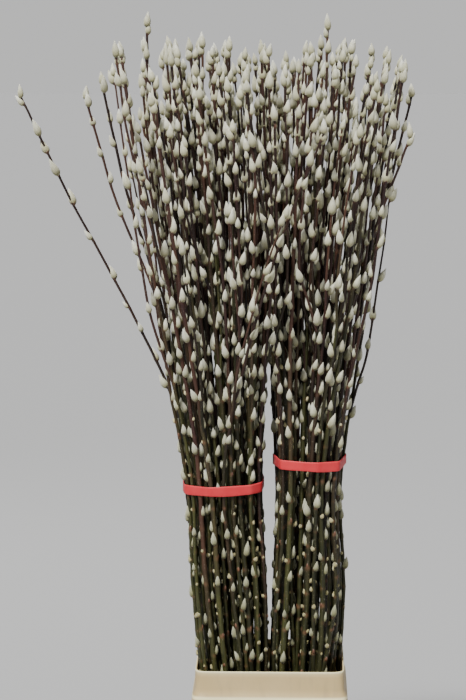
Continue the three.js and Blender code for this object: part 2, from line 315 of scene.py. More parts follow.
def bump(tree, height, distance, strength=1.0):
    """A Bump node's normal; distance is in metres."""
    inputs = {"Height": height, "Distance": distance, "Strength": strength}
    return node(tree, "ShaderNodeBump", inputs).outputs["Normal"]


plastic, tree, shader = new_material("cream_polypropylene", IOR=1.49, Specular_IOR_Level=0.45)
CREAM, BEIGE = (0.545, 0.412, 0.205), (0.465, 0.338, 0.155)
RIM_HIGHLIGHT, GRIME = (0.82, 0.75, 0.45), (0.26, 0.20, 0.12)
mottle = mix(tree, span(tree, grain(tree, 9.0), 0.35, 0.65), CREAM, BEIGE)
smears = span(tree, grain(tree, 60.0, 0.25, 6.0), 0.56, 0.78, 0.0, 0.35)
plastic_colour = mix(tree, smears, mottle, GRIME)
# The lip, the collar's edges and the foot's edge are painted lighter: a painted highlight where the rounded
# edges catch the light.
plastic_colour = mix(tree, span(tree, fact(tree, "edge"), 0.2, 0.9), plastic_colour, RIM_HIGHLIGHT)
low_dirt = calc(tree, "MULTIPLY", span(tree, own_height(tree), 0.0, 0.05, 0.5, 0.0), grain(tree, 45.0))
plastic_colour = mix(tree, low_dirt, plastic_colour, GRIME)
plastic_colour = mix(tree, span(tree, fact(tree, "inside"), 0.0, 1.0, 0.0, 0.6), plastic_colour, BEIGE)
tree.links.new(plastic_colour, shader.inputs["Base Color"])
tree.links.new(span(tree, grain(tree, 220.0, 0.1), 0.3, 0.7, 0.38, 0.56), shader.inputs["Roughness"])
tree.links.new(bump(tree, grain(tree, 1500.0, 1.0, 2.0), 0.00008), shader.inputs["Normal"])
bucket.data.materials.append(plastic)
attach(bucket, "root")
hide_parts("flower_bucket")


# ---- Branches ----------------------------------------------------------------------------------
# Willow shoots of one summer's growth, cut at about 1.2 m. Smooth thin bark, olive low down and
# dark red-brown higher up, over solid wood. They stand on their cut ends.

MAIN_SIDES, SIDE_SIDES = 6, 5  # corners of a solid main rod and side rod
FORK_SHARE, FORK_SWELL = 0.8, 1.35  # most that a side rod's foot has of the main rod, and of itself


def level_rings(name):
    """The level rings of a branch's solid, one table of [x, y, z, radius] rows per rod, the main rod
    first. Points of one height make a ring, less a cap's middle, and rings that share edges and
    have as many corners make a rod."""
    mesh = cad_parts[name].data
    places = np.empty(len(mesh.vertices) * 3, np.float32)
    mesh.vertices.foreach_get("co", places)
    places = places.reshape(-1, 3).astype(float).round(6)
    edges = np.empty(len(mesh.edges) * 2, np.int32)
    mesh.edges.foreach_get("vertices", edges)
    levels, which = np.unique(places[:, 2].round(5), return_inverse=True)
    which = which.reshape(-1)
    corner_count, rows = np.zeros(len(levels), int), np.zeros((len(levels), 4))
    for i, z in enumerate(levels):
        ring = np.unique(places[which == i], axis=0)
        reach = np.linalg.norm(ring[:, :2] - ring[:, :2].mean(0), axis=1)
        corners = reach > 0.5 * reach.max()
        corner_count[i] = corners.sum()
        rows[i] = [*ring[corners, :2].mean(0), z, reach[corners].mean()]
    low, high = np.sort(which[edges.reshape(-1, 2)], axis=1).T
    chain = np.arange(len(levels))
    for i, j in sorted(set(zip(low, high))):
        if i != j and corner_count[i] == corner_count[j]:
            chain[j] = chain[i]
    main = [rows[corner_count == MAIN_SIDES]]
    sides = [rows[(chain == first) & (corner_count == SIDE_SIDES)] for first in np.unique(chain)]
    return main + [rings for rings in sides if len(rings) > 4]


def smooth(z, knots, values):
    """values[knot] as a smooth function of height z: a cubic between neighbouring knots, whose slope
    at a knot is that of the parabola through it and its neighbours."""
    slopes = np.gradient(values, knots, axis=0)
    i = np.clip(np.searchsorted(knots, z) - 1, 0, len(knots) - 2)
    span_z = knots[i + 1] - knots[i]
    t = (z - knots[i]) / span_z
    if values.ndim > 1:
        t, span_z = t[:, None], span_z[:, None]
    return (
        (2 * t**3 - 3 * t**2 + 1) * values[i]
        + (t**3 - 2 * t**2 + t) * span_z * slopes[i]
        + (3 * t**2 - 2 * t**3) * values[i + 1]
        + (t**3 - t**2) * span_z * slopes[i + 1]
    )


branch_names = sorted(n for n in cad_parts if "branch" in n)
rods = []  # (branch, rings with the two of its end catkin last)
for branch, name in enumerate(branch_names):
    main, *sides = level_rings(name)
    rods.append((branch, main))
    for side in sides:
        fork_z = 2 * side[0, 2] - side[1, 2]
        foot = smooth(np.array([fork_z]), main[:-2, 2], main[:-2])[0]
        foot[3] = min(foot[3] * FORK_SHARE, side[0, 3] * FORK_SWELL)
        rods.append((branch, np.vstack([foot, side])))

# Thin side shoots fill the spread. Each leaves its rod above the tie, swings out towards the widest
# free space near it, and runs up beside the rod to a tip of its own.
SHOOT_SHARE = 0.85  # of the rods have one
SHOOT_FOOT, SHOOT_DROP = (0.66, 0.84), (0.02, 0.20)  # height of its foot, and its tip below its rod's
SHOOT_SWING, SHOOT_REACH = 0.10, (0.010, 0.016, 0.022)  # height in which it swings out, and how far
SHOOT_WAYS = np.arange(12) * np.pi / 6
SHOOT_CHECKS = np.linspace(0.25, 1.0, 7)  # shares of its height at which its room is measured
SHOOT_ROOM, OUTWARD_COST = 0.003, 0.8  # the room it needs, and the room a step outwards must be worth
SHOOT_RADIUS, SHOOT_TAPER, SHOOT_RINGS = 0.0021, 0.0009, 9
LONE_REACH = 0.21  # a rod whose tip leans out further than this stands alone
NOWHERE = 9.0  # far from every stem


def course(rings, z):
    """The [x, y, radius] of a rod at the heights z, and nowhere near where it isn't that tall."""
    found = smooth(z, rings[:-2, 2], rings[:-2])[:, [0, 1, 3]]
    found[(z < rings[0, 2]) | (z > rings[-1, 2]), 0] = NOWHERE
    return found


solid_rods = len(rods)
middle = np.mean([rings[-3, :2] for _, rings in rods], axis=0)
for branch, rings in list(rods):
    foot_z, top_z = rng.uniform(*SHOOT_FOOT), rings[-3, 2] - rng.uniform(*SHOOT_DROP)
    foot_z = max(foot_z, rings[0, 2] + SHOOT_SWING / 2)
    if rng.random() > SHOOT_SHARE or abs(rings[-3, 0] - middle[0]) > LONE_REACH:
        continue
    heights = foot_z + (top_z - foot_z) * SHOOT_CHECKS
    own = course(rings, heights)
    outward = (own[-1, :2] - middle) / np.linalg.norm(own[-1, :2] - middle)
    swing = np.clip((heights - foot_z) / SHOOT_SWING, 0, 1)
    others = np.array([course(other, heights) for _, other in rods if other is not rings])
    best_room, best_step = SHOOT_ROOM, None
    for turn in SHOOT_WAYS:
        for reach in SHOOT_REACH:
            step = reach * np.array([np.cos(turn), np.sin(turn)])
            spots = own[:, :2] + step * swing[:, None]
            room = (np.linalg.norm(others[..., :2] - spots, axis=2) - others[..., 2]).min()
            room -= OUTWARD_COST * max(step @ outward, 0)
            if room > best_room:
                best_room, best_step = room, step
    if best_step is None:
        continue
    # Its rings end, like a rod's, with the two of its end catkin.
    z = np.concatenate([np.linspace(foot_z, top_z, SHOOT_RINGS), top_z + np.array([0.007, 0.015])])
    swing = np.clip((z - foot_z) / SHOOT_SWING, 0, 1)
    shoot = smooth(z, rings[:-2, 2], rings[:-2])
    shoot[:, :2] += best_step * (swing * swing * (3 - 2 * swing))[:, None]
    shoot[:, 2] = z
    shoot[:, 3] = SHOOT_RADIUS - SHOOT_TAPER * (z - foot_z) / (top_z - foot_z)
    rods.append((branch, shoot))

ROD_BRANCH = np.array([branch for branch, _ in rods])
ROD_LOW = np.array([rings[0, 2] for _, rings in rods])
ROD_HIGH = np.array([rings[-3, 2] for _, rings in rods])

STEM_ROWS, STEM_SIDES = 190, 8
share = np.linspace(0, 1, STEM_ROWS)
stem_z = ROD_LOW[:, None] + (ROD_HIGH - ROD_LOW)[:, None] * share
stem_line = np.array([smooth(z, rings[:-2, 2], rings[:-2]) for z, (_, rings) in zip(stem_z, rods)])
stem_x, stem_y, stem_r = stem_line[..., 0], stem_line[..., 1], stem_line[..., 3]

# Joints: a bud at each, one after another round the stem by five turns in thirteen, closest together
# near the foot and the tip. The stem kinks a little away from every bud.
JOINT_PITCH_LEVELS, JOINT_PITCH = (0.45, 0.72, 0.95, 1.18), (0.024, 0.030, 0.043, 0.031)
PITCH_SPREAD, SHOOT_PITCH = (0.68, 1.36), 1.3  # a joint's own share of the pitch, and a shoot's
TOP_JOINT, FOOT_JOINT, LOWEST_JOINT = 0.012, 0.03, 0.20  # below a tip, above a foot, and of all
SPIRAL, SPIRAL_SPREAD = 2 * np.pi * 5 / 13, 0.25
joint_rod, joint_z, joint_turn = [], [], []
for rod in range(len(rods)):
    z, turn_here = ROD_HIGH[rod] - TOP_JOINT, rng.uniform(0, 2 * np.pi)
    spread = 1 if rod < solid_rods else SHOOT_PITCH
    while z > max(ROD_LOW[rod] + FOOT_JOINT, LOWEST_JOINT):
        joint_rod.append(rod)
        joint_z.append(z)
        joint_turn.append(turn_here)
        z -= spread * np.interp(z, JOINT_PITCH_LEVELS, JOINT_PITCH) * rng.uniform(*PITCH_SPREAD)
        turn_here += SPIRAL + rng.normal(0, SPIRAL_SPREAD)
joint_rod, joint_z, joint_turn = np.array(joint_rod), np.array(joint_z), np.array(joint_turn)


def at_height(values, rod, z):
    """values[rod, row] of the stems, read between rows at height z."""
    row = (z - ROD_LOW[rod]) / (ROD_HIGH - ROD_LOW)[rod] * (STEM_ROWS - 1)
    low = np.clip(np.floor(row).astype(int), 0, STEM_ROWS - 2)
    part = np.clip(row - low, 0, 1)
    return values[rod, low] * (1 - part) + values[rod, low + 1] * part


# ---- Buds: where each one goes -----------------------------------------------------------------
# Catkins crowd the upper stems; on the lowest part most were rubbed off, leaving a cream stub, or
# never opened. Each turns towards the free space round it, as they do when a bundle is tied.

tie_boxes = {side: [np.array(corner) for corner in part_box(side + "_tie")] for side in ("left", "right")}
tie_z = {side: (low[2] + high[2]) / 2 for side, (low, high) in tie_boxes.items()}
joint_side = np.array([branch_names[ROD_BRANCH[rod]].split("_")[0] for rod in joint_rod])
joint_tie_z = np.array([tie_z[side] for side in joint_side])

FULL, STUB, BARE = 0, 1, 2  # a catkin, what is left of one, and a bud that never opened
CATKIN_LENGTH, CATKIN_RADIUS = 0.0208, 0.0047
dice = rng.random(len(joint_z))
stub_odds = np.interp(joint_z, [0.45, 0.60, 0.72, 0.85], [0.42, 0.28, 0.08, 0.0])
bare_odds = np.interp(joint_z, [0.40, 0.60, 0.80], [0.18, 0.10, 0.02])
joint_kind = np.where(dice < stub_odds, STUB, np.where(dice < stub_odds + bare_odds, BARE, FULL))
joint_size = rng.normal(1.0, 0.15, len(joint_z)).clip(0.68, 1.3)
joint_size *= np.interp(joint_z, [0.35, 0.6, 0.9, 1.25], [0.72, 0.82, 0.96, 0.94])

# From the top down, each bud takes the turn round its stem that leaves it the most room. A catkin
# without enough room stays smaller, and the smallest are stubs.
TRIES = np.radians([0, 25, -25, 50, -50, 80, -80, 120, -120])
SQUEEZE, LEAST_SIZE, STUB_SIZE = 1.6, 0.45, 0.55
order = np.argsort(-joint_z)
bud_place = np.full((len(joint_z), 3), NOWHERE)
bud_room = np.zeros(len(joint_z))
for k in order:
    rod, z, size = joint_rod[k], joint_z[k], joint_size[k]
    middle_z = min(z + 0.5 * CATKIN_LENGTH * size, ROD_HIGH[rod])
    here = np.array([at_height(stem_x, rod, middle_z), at_height(stem_y, rod, middle_z)])
    own_r = at_height(stem_r, rod, middle_z)
    reach = own_r + CATKIN_RADIUS * size * (0.95 if joint_kind[k] == FULL else 0.5)
    turns = joint_turn[k] + TRIES
    spots = here + reach * np.stack([np.cos(turns), np.sin(turns)], 1)
    others = np.flatnonzero((ROD_LOW < middle_z) & (ROD_HIGH > middle_z) & (np.arange(len(rods)) != rod))
    stems = np.stack([at_height(stem_x, others, middle_z), at_height(stem_y, others, middle_z)], 1)
    free = np.linalg.norm(spots[:, None] - stems, axis=2) - at_height(stem_r, others, middle_z)
    room = free.min(1, initial=1.0) - CATKIN_RADIUS * size
    near = order[: np.searchsorted(-joint_z[order], -z)]
    near = near[(joint_z[near] - z < CATKIN_LENGTH * 1.05) & (joint_kind[near] != BARE)]
    if len(near):
        apart = spots[:, None] - bud_place[near, :2]
        rise = (bud_place[near, 2] - middle_z) * CATKIN_RADIUS * 2 / CATKIN_LENGTH
        gap = np.sqrt((apart**2).sum(2) + rise**2) - 2 * CATKIN_RADIUS * size
        room = np.minimum(room, gap.min(1))
    best = np.argmax(np.minimum(room, 0.0006) - 0.0006 * abs(TRIES))
    joint_turn[k] = turns[best]
    bud_room[k] = room[best]
    bud_place[k] = *spots[best], middle_z
squeezed = np.clip(1 + bud_room / (SQUEEZE * CATKIN_RADIUS), LEAST_SIZE, 1)
joint_size *= np.where(joint_kind == FULL, squeezed, 1)
joint_kind = np.where((joint_kind == FULL) & (joint_size < STUB_SIZE), STUB, joint_kind)


# ---- Branches: the wood ------------------------------------------------------------------------

joints_of = [np.flatnonzero(joint_rod == rod) for rod in range(len(rods))]
angle = np.arange(STEM_SIDES) * 2 * np.pi / STEM_SIDES
stem_rings = np.empty((len(rods), STEM_ROWS, STEM_SIDES, 3))
stem_facts = {key: np.zeros((len(rods), STEM_ROWS, STEM_SIDES)) for key in ("joint", "tone")}
KINK, SWELL = 0.00055, 0.0008  # how far a stem bends away from a bud, and swells under it
SWELL_HEIGHT, SCAR_HEIGHT, SCAR_RISE = 0.0042, 0.0022, 0.0015
rod_tone = rng.random(len(rods))
for rod, mine in enumerate(joints_of):
    z = stem_z[rod]
    knots, turns = joint_z[mine][::-1], joint_turn[mine][::-1]
    kink = KINK * np.stack([np.interp(z, knots, -f(turns), 0, 0) for f in (np.cos, np.sin)], 1)
    held = [ROD_LOW[rod], ROD_LOW[rod] + 0.04, ROD_HIGH[rod] - 0.02, ROD_HIGH[rod]]
    kink *= np.interp(z, held, [0, 1, 1, 0])[:, None]
    rise = np.exp(-(((z[:, None] - knots) / SWELL_HEIGHT) ** 2))
    facing = 0.5 + 0.5 * np.cos(angle - turns[:, None])
    cushion = np.einsum("zk,ka->za", rise, 0.35 + 0.65 * facing)
    radius = stem_r[rod][:, None] + SWELL * cushion * np.clip(stem_r[rod] / 0.003, 0.6, 1)[:, None]
    stem_x[rod] += kink[:, 0]
    stem_y[rod] += kink[:, 1]
    stem_rings[rod, ..., 0] = stem_x[rod][:, None] + radius * np.cos(angle)
    stem_rings[rod, ..., 1] = stem_y[rod][:, None] + radius * np.sin(angle)
    stem_rings[rod, ..., 2] = z[:, None]
    scar = np.exp(-(((z[:, None] - knots - SCAR_RISE) / SCAR_HEIGHT) ** 2))
    stem_facts["joint"][rod] = scar @ (0.3 + 0.7 * facing)
    stem_facts["tone"][rod] = rod_tone[rod]

bark, tree, shader = new_material("young_willow_bark", IOR=1.45, Specular_IOR_Level=0.4)
# The low bark's greens are its own olive and moss, painted darker as well: painted shade for the light that
# falls off towards the bottom.
SHADED_OLIVE, SHADED_MOSS = (0.058, 0.056, 0.013), (0.017, 0.021, 0.007)
MAROON, UMBER = (0.032, 0.012, 0.011), (0.066, 0.028, 0.016)
SCAR, LENTICEL = (0.15, 0.070, 0.034), (0.20, 0.17, 0.11)
SHADE = (0.22, 0.20, 0.22)  # share of its colour that the darkest stem keeps
BROWN_LEVELS, BROWN_SPREAD = (0.86, 1.18), 0.62  # heights over which green turns brown; by stem
tone = fact(tree, "tone")
streak = grain(tree, 420.0, 0.06, 5.0)
patch = grain(tree, 28.0, 0.25, 3.0)
greens = mix(tree, span(tree, streak, 0.3, 0.7), SHADED_OLIVE, SHADED_MOSS)
browns = mix(tree, span(tree, patch, 0.35, 0.65), MAROON, UMBER)
rise = calc(tree, "ADD", calc(tree, "MULTIPLY", tone, BROWN_SPREAD), own_height(tree))
rise = calc(tree, "ADD", rise, span(tree, patch, 0.2, 0.8, -0.16, 0.16))
bark_colour = mix(tree, span(tree, rise, *BROWN_LEVELS), greens, browns)
lenticel_place = node(
    tree,
    "ShaderNodeVectorMath",
    {0: node(tree, "ShaderNodeTexCoord").outputs["Object"], 1: (1.0, 1.0, 0.6)},
    operation="MULTIPLY",
)
lenticels = node(tree, "ShaderNodeTexVoronoi", {"Vector": lenticel_place.outputs[0], "Scale": 330.0})
# Stems differ, and some are nearly black: the last digits of a stem's tone give its darkness.
shade = calc(tree, "FRACT", calc(tree, "MULTIPLY", tone, 37.0))
bark_colour = mix(tree, span(tree, shade, 0.2, 0.8, 0.0, 0.9), bark_colour, SHADE, "MULTIPLY")
pale_dots = span(tree, lenticels.outputs["Distance"], 0.10, 0.22, 0.55, 0.0)
bark_colour = mix(tree, pale_dots, bark_colour, LENTICEL)
bark_colour = mix(tree, span(tree, fact(tree, "joint"), 0.15, 0.9, 0.0, 0.85), bark_colour, SCAR)
tree.links.new(bark_colour, shader.inputs["Base Color"])
tree.links.new(span(tree, streak, 0.25, 0.75, 0.42, 0.62), shader.inputs["Roughness"])
ridges = calc(tree, "ADD", streak, pale_dots)
tree.links.new(bump(tree, ridges, 0.00025, 0.7), shader.inputs["Normal"])

for branch, name in enumerate(branch_names):
    mine = np.flatnonzero(ROD_BRANCH == branch)
    facts = {key: values[mine] for key, values in stem_facts.items()}
    wood = skin(name + "_wood", stem_rings[mine], stem_z[mine], facts=facts)
    wood.data.materials.append(bark)
    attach(wood, "root")
    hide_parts(name)


# ---- Catkins -----------------------------------------------------------------------------------
# Stalkless oval buds, blunt at the foot and pointed at the tip, packed with silky silver hairs that
# lie upwards. They sit close to the stem on its bud cushions.


def frames(turns, lean, slope):
    """The axis, side and outward unit vectors of buds that stand up a stem whose course has that
    slope (dx/dz, dy/dz), leaning out by lean towards turns."""
    stem_way = np.stack([slope[:, 0], slope[:, 1], np.ones(len(turns))], 1)
    stem_way /= np.linalg.norm(stem_way, axis=1)[:, None]
    out = np.stack([np.cos(turns), np.sin(turns), 0 * turns], 1)
    out -= (out * stem_way).sum(1)[:, None] * stem_way
    out /= np.linalg.norm(out, axis=1)[:, None]
    axis = stem_way * np.cos(lean)[:, None] + out * np.sin(lean)[:, None]
    outward = out * np.cos(lean)[:, None] - stem_way * np.sin(lean)[:, None]
    return axis, np.cross(axis, outward), outward


def bud_rings(foot, axes, length, radius, rows, outline, sides, bend=0.0, lobes=0.0):
    """Rings of oval buds: at share rows[i] of its length a bud is radius * outline[i] across, its
    middle line bends inwards as the square of that share, and lobes wave its outline."""
    axis, side, outward = axes
    round_way = np.arange(sides) * 2 * np.pi / sides
    reach = radius[:, None, None] * outline[None, :, None] * (1 + lobes * np.cos(3 * round_way))
    middle = foot[:, None] + axis[:, None] * (length[:, None] * rows)[..., None]
    middle -= outward[:, None] * (bend * length[:, None] * rows**2)[..., None]
    out_part = outward[:, None, None] * (reach * np.cos(round_way))[..., None]
    side_part = side[:, None, None] * (reach * np.sin(round_way))[..., None]
    return middle[:, :, None] + out_part + side_part


def stem_middle(z):
    """The middle of each joint's stem at the heights z, as rows of [x, y]."""
    return np.stack([at_height(line, joint_rod, z) for line in (stem_x, stem_y)], 1)


SLOPE_STEP = 0.01
joint_slope = (stem_middle(joint_z + SLOPE_STEP) - stem_middle(joint_z - SLOPE_STEP)) / (2 * SLOPE_STEP)
joint_r = at_height(stem_r, joint_rod, joint_z)
joint_middle = np.column_stack([stem_middle(joint_z), joint_z])
joint_out = np.stack([np.cos(joint_turn), np.sin(joint_turn), 0 * joint_turn], 1)
joint_lean = np.radians(rng.normal(17, 4.5, len(joint_z)).clip(7, 30))

# A bud that would lie under a tie is left out: the tie presses on bare wood there.
side_middle = {s: (low + high)[:2] / 2 for s, (low, high) in tie_boxes.items()}
side_half = {s: (high - low)[:2] / 2 for s, (low, high) in tie_boxes.items()}
from_middle = np.array([(m[:2] - side_middle[s]) / side_half[s] for m, s in zip(joint_middle, joint_side)])
OUTER_SHARE, ABOVE_TIE, BELOW_TIE = 0.62, 0.011, 0.012
outer = np.linalg.norm(from_middle, axis=1) > OUTER_SHARE
under_tie = outer & (joint_z < joint_tie_z + ABOVE_TIE) & (joint_z + CATKIN_LENGTH > joint_tie_z - BELOW_TIE)

full = np.flatnonzero((joint_kind == FULL) & ~under_tie)
tips = np.array([rings[-3:] for _, rings in rods])
tip_way = (tips[:, 2, :2] - tips[:, 0, :2]) / (tips[:, 2, 2] - tips[:, 0, 2])[:, None]

FULL_ROWS = np.array([0.0, 0.07, 0.19, 0.36, 0.55, 0.73, 0.88, 0.98])
FULL_OUTLINE = np.array([0.46, 0.78, 1.02, 1.04, 0.86, 0.56, 0.27, 0.08])
CATKIN_SIDES = 8
FOOT_SHARE, SMALL_FOOT_SHARE = 0.75, 0.8  # of the stem's radius, at which a bud's foot sits in it
STUB_LEAN, BARE_LEAN, TIP_DEPTH = 1.6, 0.5, 0.0015
lean = np.concatenate([joint_lean[full], np.zeros(len(rods))])
turns = np.concatenate([joint_turn[full], rng.uniform(0, 2 * np.pi, len(rods))])
slopes = np.concatenate([joint_slope[full], tip_way])
foot = joint_middle[full] + joint_out[full] * (joint_r[full] * FOOT_SHARE)[:, None]
foot = np.concatenate([foot, tips[:, 0, :3] - [0, 0, TIP_DEPTH]])
size = np.concatenate([joint_size[full], rng.normal(1.0, 0.07, len(rods)).clip(0.85, 1.1)])
length = CATKIN_LENGTH * size * rng.normal(1, 0.05, len(size)).clip(0.88, 1.12)
radius = CATKIN_RADIUS * size * rng.normal(1, 0.05, len(size)).clip(0.88, 1.12)
axes = frames(turns, lean, slopes)
catkin_rings = bud_rings(foot, axes, length, radius, FULL_ROWS, FULL_OUTLINE, CATKIN_SIDES, bend=0.10)
catkin_branch = ROD_BRANCH[np.concatenate([joint_rod[full], np.arange(len(rods))])]
catkin_tone = rng.random(len(size))

stubs = np.flatnonzero((joint_kind == STUB) & ~under_tie)
STUB_ROWS = np.array([0.0, 0.12, 0.30, 0.48, 0.66, 0.82, 0.93, 1.0])
STUB_OUTLINE = np.array([0.50, 0.82, 1.0, 0.95, 0.74, 0.46, 0.24, 0.08])
STUB_LENGTH, STUB_RADIUS = 0.0066, 0.0025
stub_axes = frames(joint_turn[stubs], joint_lean[stubs] * STUB_LEAN, joint_slope[stubs])
stub_foot = joint_middle[stubs] + joint_out[stubs] * (joint_r[stubs] * SMALL_FOOT_SHARE)[:, None]
stub_size = rng.uniform(0.6, 1.35, len(stubs))
stub_rings = bud_rings(
    stub_foot, stub_axes, STUB_LENGTH * stub_size, STUB_RADIUS * stub_size,
    STUB_ROWS, STUB_OUTLINE, CATKIN_SIDES, lobes=0.06,
)
all_rings = np.concatenate([catkin_rings, stub_rings])
all_branch = np.concatenate([catkin_branch, ROD_BRANCH[joint_rod[stubs]]])
all_tone = np.concatenate([catkin_tone, rng.random(len(stubs))])
all_stub = np.concatenate([np.zeros(len(size)), np.ones(len(stubs))])
all_rows = np.vstack([np.tile(FULL_ROWS, (len(size), 1)), np.tile(STUB_ROWS * 0.5 + 0.3, (len(stubs), 1))])

fur, tree, shader = new_material(
    "silver_catkin_fur", IOR=1.4, Roughness=0.85, Specular_IOR_Level=0.15,
    Sheen_Weight=0.55, Sheen_Roughness=0.45,
)
shader.inputs["Sheen Tint"].default_value = (1.0, 1.0, 0.95, 1)
FUR_SHADED_FOOT, FUR_BASE, FUR_SIDE, FUR_TIP = (
    (0.12, 0.105, 0.045), (0.38, 0.36, 0.19), (0.66, 0.645, 0.48), (0.92, 0.91, 0.81)
)
FUR_SHADE, FUR_GAPS, FUR_BLOTCH = (0.60, 0.585, 0.47), (0.33, 0.32, 0.22), (0.46, 0.44, 0.26)
STUB_CREAM, FUR_LOW_SHADE = (0.64, 0.56, 0.31), (0.44, 0.45, 0.34)
uv = node(tree, "ShaderNodeUVMap", uv_map="surface").outputs["UV"]
hair_place = node(tree, "ShaderNodeVectorMath", {0: uv, 1: (26.0, 5.0, 1.0)}, operation="MULTIPLY")
hair_noise = {"Vector": hair_place.outputs[0], "Scale": 1.0, "Detail": 4.0, "Roughness": 0.65}
hairs = node(tree, "ShaderNodeTexNoise", hair_noise).outputs["Fac"]
# Along each catkin the fur darkens from the tip to the foot: partly its own colour, greener and younger at
# the foot, and partly painted shade low on the catkin and painted light at its tip, for light from above.
along_stops = [(0.0, FUR_SHADED_FOOT), (0.14, FUR_BASE), (0.42, FUR_SIDE), (0.85, FUR_TIP)]
fur_colour = ramp(tree, fact(tree, "along"), along_stops)
fur_colour = mix(tree, span(tree, fact(tree, "tone"), 0.0, 1.0, 0.0, 0.7), fur_colour, FUR_SHADE, "MULTIPLY")
fur_colour = mix(tree, span(tree, hairs, 0.32, 0.66, 0.42, 0.0), fur_colour, FUR_GAPS)
blotch = span(tree, grain(tree, 260.0, 0.6, 3.0), 0.48, 0.66, 0.0, 0.6)
fur_colour = mix(tree, blotch, fur_colour, FUR_BLOTCH)
fur_colour = mix(tree, fact(tree, "stub"), fur_colour, STUB_CREAM)
# Low on the branches the fur is painted darker: painted shade for the light that falls off towards the
# bottom, with the fur there also a little older and duller.
low_shade = span(tree, own_height(tree), 0.42, 0.86, 0.9, 0.0)
fur_colour = mix(tree, low_shade, fur_colour, FUR_LOW_SHADE, "MULTIPLY")
tree.links.new(fur_colour, shader.inputs["Base Color"])
tree.links.new(bump(tree, hairs, 0.0009, 0.8), shader.inputs["Normal"])

for branch, name in enumerate(branch_names):
    mine = all_branch == branch
    catkins = skin(
        name + "_catkins",
        all_rings[mine],
        all_rows[mine],
        facts={
            "along": all_rows[mine][..., None],
            "tone": all_tone[mine][:, None, None],
            "stub": all_stub[mine][:, None, None],
        },
    )
    catkins.data.materials.append(fur)
    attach(catkins, "root")


# ---- Bud scales --------------------------------------------------------------------------------
# The single brown cap that wrapped each bud all winter. It has split and stays as a pointed cup
# under the catkin's outer side; on an unopened bud it still covers everything.

SCALE_SIDES = 6
SCALE_ROWS = np.array([-0.07, 0.0, 0.04, 0.09, 0.08])
SCALE_OUTLINE = np.array([0.25, 0.50, 0.70, 0.86, 0.62])
SCALE_LIFT = np.array([0, 0, 0.5, 1.0, 0.95])
BARE_ROWS = np.array([0.0, 0.25, 0.55, 0.82, 0.98])
BARE_OUTLINE = np.array([0.55, 1.0, 0.92, 0.55, 0.15])
BARE_LENGTH, BARE_RADIUS = 0.0082, 0.0021
STUB_CUP_LENGTH, STUB_CUP_RADIUS = 0.0125, 0.0027
CUP_LOBE, STUB_LOBE = 0.13, 0.10  # share of its length by which a cup's outer side stands higher


def scale_rings(foot, axes, length, radius, lobe):
    """Cup rings: rows rise on the outward side by lobe times the squared half cosine of the turn."""
    rings = bud_rings(foot, axes, length, radius, SCALE_ROWS, SCALE_OUTLINE, SCALE_SIDES)
    round_way = np.arange(SCALE_SIDES) * 2 * np.pi / SCALE_SIDES
    rise = (0.5 + 0.5 * np.cos(round_way)) ** 2 * lobe
    lift = SCALE_LIFT[:, None] * rise
    return rings + axes[0][:, None, None] * (length[:, None, None] * lift)[..., None]


under = np.concatenate([np.ones(len(full), bool), np.zeros(len(rods), bool)])
cup_rings = scale_rings(foot[under], [v[under] for v in axes], length[under], radius[under] * 1.02, CUP_LOBE)
stub_cups = scale_rings(
    stub_foot, stub_axes, STUB_CUP_LENGTH * stub_size, STUB_CUP_RADIUS * stub_size, STUB_LOBE
)
bare = np.flatnonzero(joint_kind == BARE)
bare_axes = frames(joint_turn[bare], joint_lean[bare] * BARE_LEAN, joint_slope[bare])
bare_foot = joint_middle[bare] + joint_out[bare] * (joint_r[bare] * SMALL_FOOT_SHARE)[:, None]
bare_rings = bud_rings(
    bare_foot, bare_axes, np.full(len(bare), BARE_LENGTH), np.full(len(bare), BARE_RADIUS),
    BARE_ROWS, BARE_OUTLINE, SCALE_SIDES, bend=0.25,
)

husk, tree, shader = new_material("brown_bud_scale", IOR=1.5, Coat_Weight=0.2, Coat_Roughness=0.3)
HUSK_DARK, HUSK_LIGHT = (0.060, 0.026, 0.014), (0.16, 0.070, 0.030)
HUSK_RED, HUSK_TIP = (0.10, 0.035, 0.02), (0.30, 0.19, 0.09)
husk_colour = mix(tree, fact(tree, "tone"), HUSK_DARK, HUSK_LIGHT)
husk_colour = mix(tree, span(tree, grain(tree, 500.0, 0.3), 0.4, 0.7, 0.0, 0.6), husk_colour, HUSK_RED)
husk_colour = mix(tree, span(tree, fact(tree, "along"), 0.1, 0.24, 0.0, 0.35), husk_colour, HUSK_TIP)
tree.links.new(husk_colour, shader.inputs["Base Color"])
tree.links.new(span(tree, grain(tree, 300.0), 0.3, 0.7, 0.35, 0.55), shader.inputs["Roughness"])
tree.links.new(bump(tree, grain(tree, 700.0, 0.15), 0.0002, 0.6), shader.inputs["Normal"])

cups = np.concatenate([cup_rings, stub_cups, bare_rings])
cup_rod = np.concatenate([joint_rod[full], joint_rod[stubs], joint_rod[bare]])
opened_rows = np.tile(SCALE_ROWS, (len(full) + len(stubs), 1))
cup_rows = np.vstack([opened_rows, np.tile(BARE_ROWS * 0.1, (len(bare), 1))])
cup_tone = rng.random(len(cups))
cup_side = np.array([branch_names[ROD_BRANCH[rod]].split("_")[0] for rod in cup_rod])
for side in ("left", "right"):
    mine = cup_side == side
    scales = skin(
        side + "_bud_scales", cups[mine], cup_rows[mine],
        facts={"along": cup_rows[mine][..., None], "tone": cup_tone[mine][:, None, None]},
    )
    scales.data.materials.append(husk)
    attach(scales, "root")


# ---- Ties --------------------------------------------------------------------------------------
# A flat loop of red rubber, cut from a tube, rolled up over each bundle. It is stretched tight, so
# it runs straight from one outer stem to the next, and it lies a little askew.

TIE_WIDTH, TIE_THICKNESS, TIE_GAP = 0.0140, 0.0012, 0.0003
TIE_SLOPE = {"left": 0.05, "right": 0.0}
TIE_LEVELS = np.array([-0.5, -0.25, 0, 0.25, 0.5]) * TIE_WIDTH  # where a tie feels for the stems
TIE_POINTS = 260


